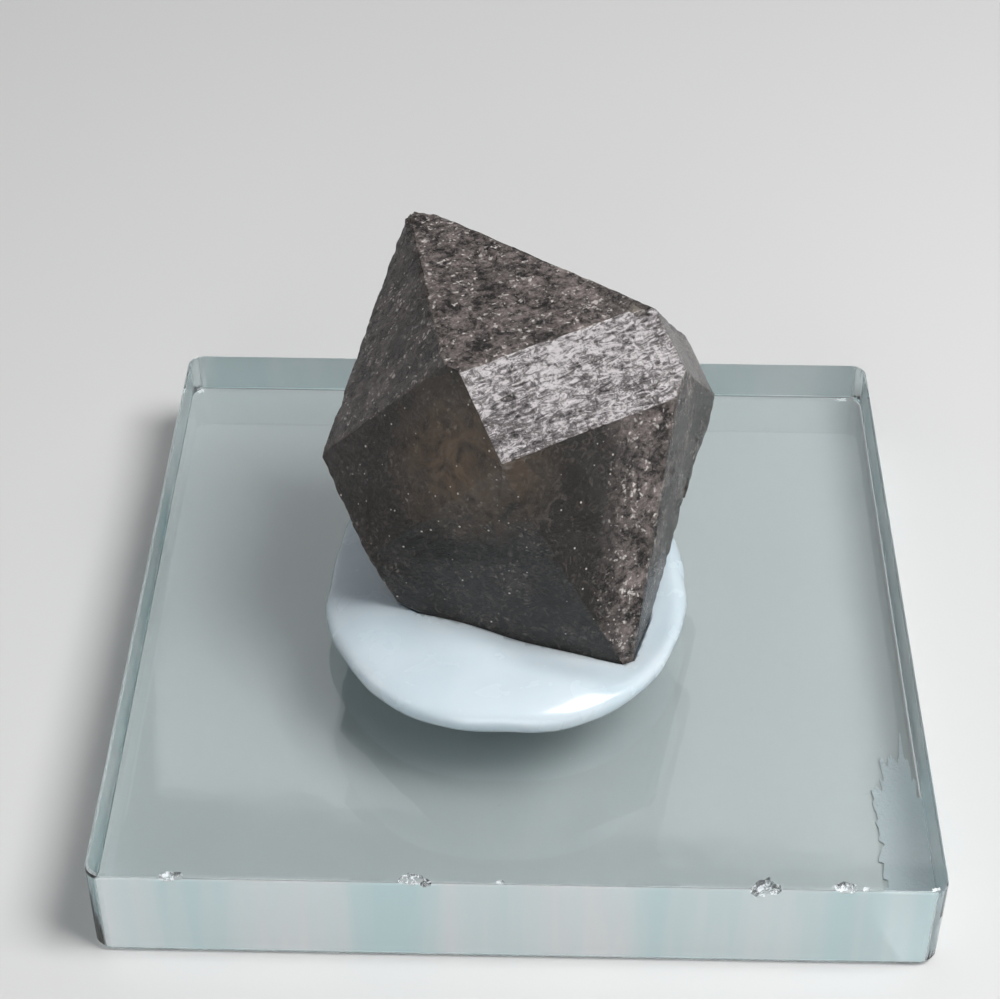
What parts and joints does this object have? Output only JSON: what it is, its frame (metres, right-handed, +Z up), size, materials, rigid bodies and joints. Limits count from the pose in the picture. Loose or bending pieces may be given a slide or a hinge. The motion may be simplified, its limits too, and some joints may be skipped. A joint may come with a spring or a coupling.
{
  "type": "quartz crystal on a display base",
  "caption": "Stubby doubly terminated smoky quartz crystal held tilted in a pad of mineral putty on a square glass block.",
  "frame": {"origin": "centre of the glass block's underside, on the surface it stands on", "axes": "+Z up; -Y towards the front of the display, where the bright prism face shows; +X to the right"},
  "size_m": [0.05, 0.05, 0.0283],
  "materials": {
    "smoky_quartz": "translucent smoky brown quartz, glossy on the striated prism faces and finely etched on the end faces",
    "mineral_putty": "soft pale blue-white putty with a waxy sheen",
    "float_glass": "clear polished float glass with a pale green tint at the edges"
  },
  "bodies": {
    "root": {"quartz_crystal": "smoky_quartz", "putty_pad": "mineral_putty", "glass_base": "float_glass"}
  },
  "joints": []
}
